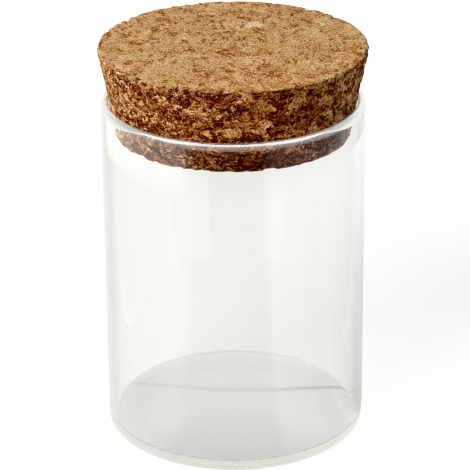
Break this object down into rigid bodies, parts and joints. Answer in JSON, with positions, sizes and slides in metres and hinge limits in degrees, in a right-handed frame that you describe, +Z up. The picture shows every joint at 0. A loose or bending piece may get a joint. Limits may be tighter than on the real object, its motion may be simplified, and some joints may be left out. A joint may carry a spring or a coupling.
{
  "type": "glass jar with cork lid",
  "caption": "Straight-walled clear glass storage jar with a rounded rim and heel, closed by a tapered pressed-cork stopper that lifts out.",
  "frame": {"origin": "centre of the jar's underside, on the surface it stands on", "axes": "+Z up along the jar's axis, towards the stopper; the jar and stopper are round, so +X and +Y are any two level directions"},
  "size_m": [0.0664, 0.0664, 0.1007],
  "materials": {
    "clear_glass": "clear, fire-polished, gloss",
    "pressed_cork": "pressed cork granules, sanded, matt"
  },
  "bodies": {
    "jar": {"glass_jar": "clear_glass"},
    "stopper": {"cork_stopper": "pressed_cork"}
  },
  "joints": [
    {"name": "stopper_lift", "type": "slide", "parent": "jar", "child": "stopper", "axis": [0, 0, 1], "range_m": [0, 0.06]}
  ]
}
